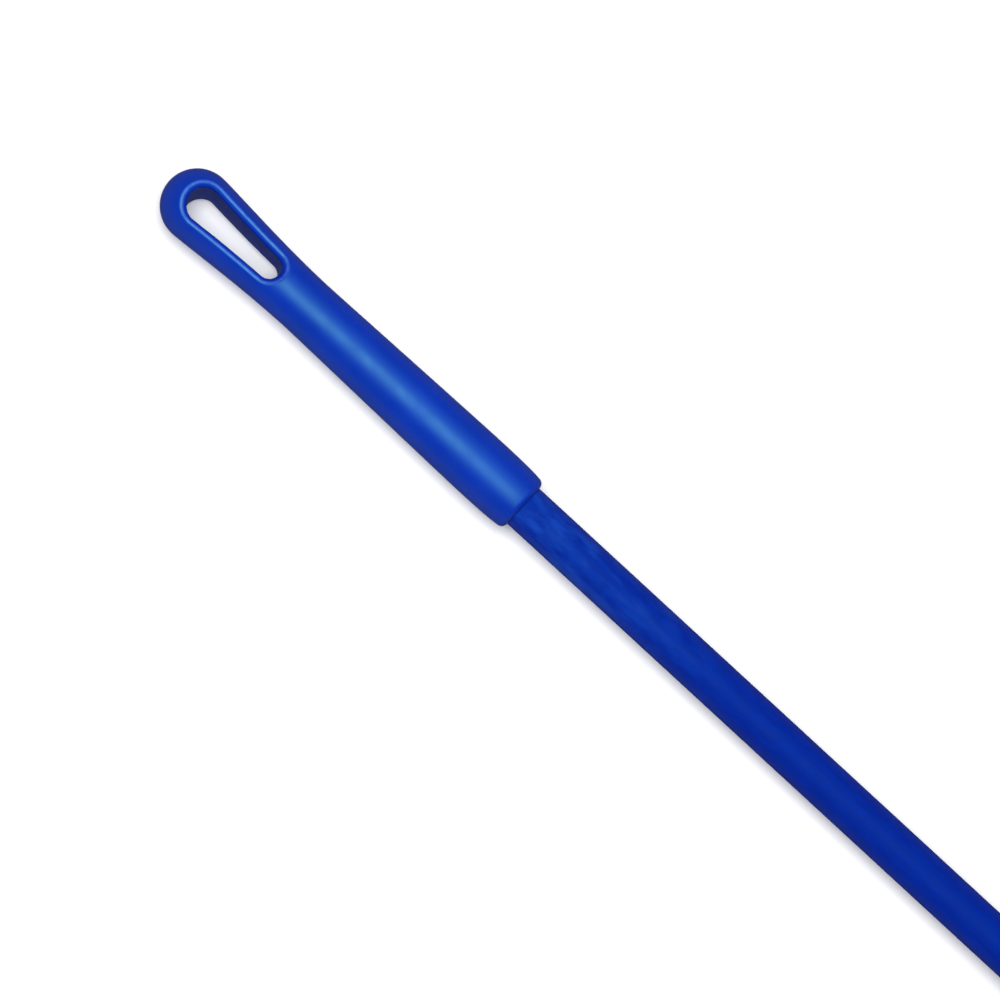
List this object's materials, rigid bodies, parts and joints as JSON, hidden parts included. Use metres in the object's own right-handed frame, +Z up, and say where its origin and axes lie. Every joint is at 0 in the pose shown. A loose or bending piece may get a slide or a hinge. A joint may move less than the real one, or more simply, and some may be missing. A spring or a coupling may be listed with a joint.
{
  "type": "boat hook",
  "caption": "Telescoping boat hook with a twist lock, a grip with a tapered hanging eye, and a moulded head with a straight prong and one hook.",
  "frame": {"origin": "on the plane the boat hook lies on, under the middle of its bounding box, with the pole closed", "axes": "+X along the pole from the grip to the head, +Y towards the side that the hook curves to, +Z up out of the plane, along the hanging eye"},
  "size_m": [1.19, 0.0891, 0.0422],
  "materials": {
    "grip_blue": "satin moulded plastic, deep blue",
    "pole_blue": "pigmented fibreglass, faint swirled fibres",
    "lock_black": "fine textured moulded nylon",
    "head_white": "satin moulded nylon",
    "tube_aluminium": "drawn and clear anodised",
    "stainless": "bright stainless steel",
    "nylon_natural": "natural nylon",
    "foam_dark": "closed-cell foam",
    "rubber_black": "matt soft rubber"
  },
  "bodies": {
    "outer_section": {"hand_grip": "grip_blue", "outer_tube": "pole_blue", "outer_float_plug": "foam_dark", "mouth_bush": "nylon_natural", "lock_ferrule": "lock_black", "ferrule_rivet_left": "stainless", "ferrule_rivet_right": "stainless", "ferrule_o_ring": "rubber_black", "collet": "nylon_natural"},
    "clamp": {"thrust_ring": "nylon_natural"},
    "collar": {"lock_nut": "lock_black", "wiper_seal": "rubber_black", "seal_retainer": "lock_black"},
    "slider": {"guide_bush": "nylon_natural"},
    "inner_section": {"inner_tube": "tube_aluminium", "inner_float_plug": "foam_dark", "bush_circlip_rear": "stainless", "bush_circlip_front": "stainless", "head_float_plug": "foam_dark", "hook_head": "head_white", "head_screw_left": "stainless", "head_screw_right": "stainless", "tip_bumper": "rubber_black"}
  },
  "joints": [
    {"name": "section_slide", "type": "slide", "parent": "outer_section", "child": "slider", "axis": [1, 0, 0], "range_m": [0, 0.7]},
    {"name": "section_turn", "type": "hinge", "parent": "slider", "child": "inner_section", "pos_m": [-0.4, -0.0214, 0.0211], "axis": [1, 0, 0], "continuous": true},
    {"name": "clamp_advance", "type": "slide", "parent": "outer_section", "child": "clamp", "axis": [1, 0, 0], "range_m": [0, 0.00101]},
    {"name": "collar_turn", "type": "hinge", "parent": "clamp", "child": "collar", "pos_m": [0.4, -0.0214, 0.0211], "axis": [1, 0, 0], "range_deg": [0, 120]}
  ],
  "couplings": [
    {"joint": "clamp_advance", "follows": "collar_turn", "m_per_rad": 0.00047746}
  ]
}
